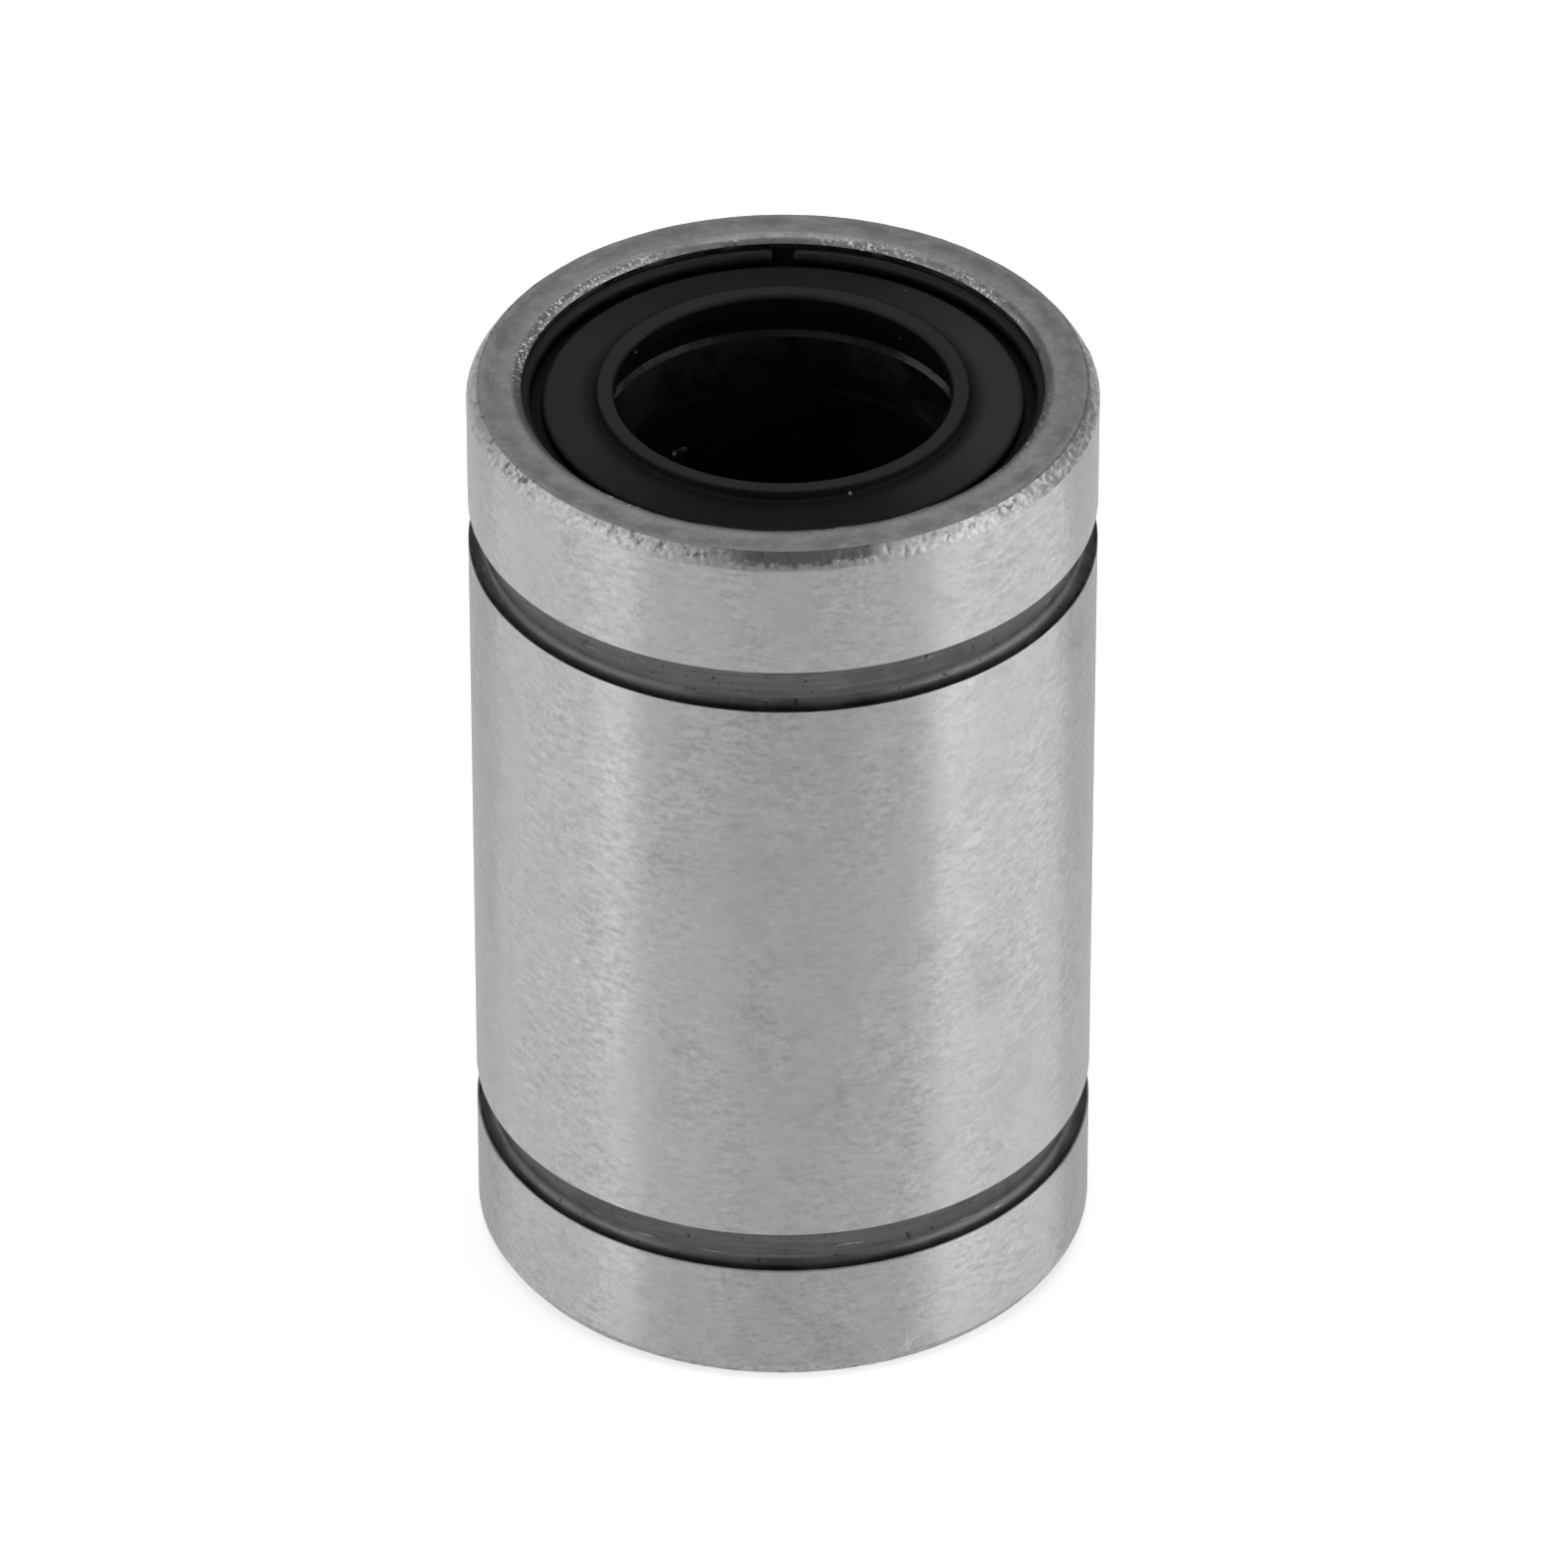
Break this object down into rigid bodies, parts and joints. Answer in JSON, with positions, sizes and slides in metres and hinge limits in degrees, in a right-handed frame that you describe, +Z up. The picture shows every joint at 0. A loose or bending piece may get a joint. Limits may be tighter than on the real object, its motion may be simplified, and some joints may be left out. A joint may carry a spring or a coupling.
{
  "type": "linear ball bushing",
  "caption": "Linear ball bushing with a grooved steel sleeve, rubber end seals and recirculating ball circuits in a plastic cage, for an 8 mm shaft.",
  "frame": {"origin": "centre of the lower end face, on the bushing's axis", "axes": "+Z up along the bore axis; -Y faces the picture's camera; +X is to the camera's right"},
  "size_m": [0.015, 0.015, 0.024],
  "materials": {
    "sleeve_steel": "ground, fine mottled grain, satin",
    "ball_steel": "polished",
    "seal_rubber": "matte moulded black",
    "ring_wire": "black oxide spring wire",
    "retainer_plastic": "matte moulded"
  },
  "bodies": {
    "housing": {"outer_sleeve": "sleeve_steel", "ball_cage": "retainer_plastic", "upper_side_ring": "retainer_plastic", "lower_side_ring": "retainer_plastic", "upper_seal": "seal_rubber", "lower_seal": "seal_rubber", "upper_snap_ring": "ring_wire", "lower_snap_ring": "ring_wire"},
    "circuit_1_loaded_row": {"circuit_1_loaded_balls": "ball_steel"},
    "circuit_1_return_row": {"circuit_1_return_balls": "ball_steel"},
    "circuit_1_upper_turn": {"circuit_1_upper_turn_balls": "ball_steel"},
    "circuit_1_lower_turn": {"circuit_1_lower_turn_balls": "ball_steel"},
    "circuit_2_loaded_row": {"circuit_2_loaded_balls": "ball_steel"},
    "circuit_2_return_row": {"circuit_2_return_balls": "ball_steel"},
    "circuit_2_upper_turn": {"circuit_2_upper_turn_balls": "ball_steel"},
    "circuit_2_lower_turn": {"circuit_2_lower_turn_balls": "ball_steel"},
    "circuit_3_loaded_row": {"circuit_3_loaded_balls": "ball_steel"},
    "circuit_3_return_row": {"circuit_3_return_balls": "ball_steel"},
    "circuit_3_upper_turn": {"circuit_3_upper_turn_balls": "ball_steel"},
    "circuit_3_lower_turn": {"circuit_3_lower_turn_balls": "ball_steel"},
    "circuit_4_loaded_row": {"circuit_4_loaded_balls": "ball_steel"},
    "circuit_4_return_row": {"circuit_4_return_balls": "ball_steel"},
    "circuit_4_upper_turn": {"circuit_4_upper_turn_balls": "ball_steel"},
    "circuit_4_lower_turn": {"circuit_4_lower_turn_balls": "ball_steel"}
  },
  "joints": [
    {"name": "circuit_1_loaded_travel", "type": "slide", "parent": "housing", "child": "circuit_1_loaded_row", "axis": [0, 0, 1], "range_m": [-0.00089, 0.00089]},
    {"name": "circuit_1_return_travel", "type": "slide", "parent": "housing", "child": "circuit_1_return_row", "axis": [0, 0, 1], "range_m": [-0.00089, 0.00089]},
    {"name": "circuit_1_upper_roll", "type": "hinge", "parent": "housing", "child": "circuit_1_upper_turn", "pos_m": [0.00395, 0.00294, 0.01827], "axis": [0.6428, 0.766, 0], "range_deg": [-45, 45]},
    {"name": "circuit_1_lower_roll", "type": "hinge", "parent": "housing", "child": "circuit_1_lower_turn", "pos_m": [0.00395, 0.00294, 0.00573], "axis": [0.6428, 0.766, 0], "range_deg": [-45, 45]},
    {"name": "circuit_2_loaded_travel", "type": "slide", "parent": "housing", "child": "circuit_2_loaded_row", "axis": [0, 0, 1], "range_m": [-0.00089, 0.00089]},
    {"name": "circuit_2_return_travel", "type": "slide", "parent": "housing", "child": "circuit_2_return_row", "axis": [0, 0, 1], "range_m": [-0.00089, 0.00089]},
    {"name": "circuit_2_upper_roll", "type": "hinge", "parent": "housing", "child": "circuit_2_upper_turn", "pos_m": [0.00294, -0.00395, 0.01827], "axis": [0.766, -0.6428, 0], "range_deg": [-45, 45]},
    {"name": "circuit_2_lower_roll", "type": "hinge", "parent": "housing", "child": "circuit_2_lower_turn", "pos_m": [0.00294, -0.00395, 0.00573], "axis": [0.766, -0.6428, 0], "range_deg": [-45, 45]},
    {"name": "circuit_3_loaded_travel", "type": "slide", "parent": "housing", "child": "circuit_3_loaded_row", "axis": [0, 0, 1], "range_m": [-0.00089, 0.00089]},
    {"name": "circuit_3_return_travel", "type": "slide", "parent": "housing", "child": "circuit_3_return_row", "axis": [0, 0, 1], "range_m": [-0.00089, 0.00089]},
    {"name": "circuit_3_upper_roll", "type": "hinge", "parent": "housing", "child": "circuit_3_upper_turn", "pos_m": [-0.00395, -0.00294, 0.01827], "axis": [-0.6428, -0.766, 0], "range_deg": [-45, 45]},
    {"name": "circuit_3_lower_roll", "type": "hinge", "parent": "housing", "child": "circuit_3_lower_turn", "pos_m": [-0.00395, -0.00294, 0.00573], "axis": [-0.6428, -0.766, 0], "range_deg": [-45, 45]},
    {"name": "circuit_4_loaded_travel", "type": "slide", "parent": "housing", "child": "circuit_4_loaded_row", "axis": [0, 0, 1], "range_m": [-0.00089, 0.00089]},
    {"name": "circuit_4_return_travel", "type": "slide", "parent": "housing", "child": "circuit_4_return_row", "axis": [0, 0, 1], "range_m": [-0.00089, 0.00089]},
    {"name": "circuit_4_upper_roll", "type": "hinge", "parent": "housing", "child": "circuit_4_upper_turn", "pos_m": [-0.00294, 0.00395, 0.01827], "axis": [-0.766, 0.6428, 0], "range_deg": [-45, 45]},
    {"name": "circuit_4_lower_roll", "type": "hinge", "parent": "housing", "child": "circuit_4_lower_turn", "pos_m": [-0.00294, 0.00395, 0.00573], "axis": [-0.766, 0.6428, 0], "range_deg": [-45, 45]}
  ],
  "couplings": [
    {"joint": "circuit_1_return_travel", "follows": "circuit_1_loaded_travel", "ratio": -1},
    {"joint": "circuit_1_upper_roll", "follows": "circuit_1_loaded_travel", "rad_per_m": 877.03},
    {"joint": "circuit_1_lower_roll", "follows": "circuit_1_loaded_travel", "rad_per_m": 877.03},
    {"joint": "circuit_2_return_travel", "follows": "circuit_2_loaded_travel", "ratio": -1},
    {"joint": "circuit_2_upper_roll", "follows": "circuit_2_loaded_travel", "rad_per_m": 877.03},
    {"joint": "circuit_2_lower_roll", "follows": "circuit_2_loaded_travel", "rad_per_m": 877.03},
    {"joint": "circuit_3_return_travel", "follows": "circuit_3_loaded_travel", "ratio": -1},
    {"joint": "circuit_3_upper_roll", "follows": "circuit_3_loaded_travel", "rad_per_m": 877.03},
    {"joint": "circuit_3_lower_roll", "follows": "circuit_3_loaded_travel", "rad_per_m": 877.03},
    {"joint": "circuit_4_return_travel", "follows": "circuit_4_loaded_travel", "ratio": -1},
    {"joint": "circuit_4_upper_roll", "follows": "circuit_4_loaded_travel", "rad_per_m": 877.03},
    {"joint": "circuit_4_lower_roll", "follows": "circuit_4_loaded_travel", "rad_per_m": 877.03}
  ]
}
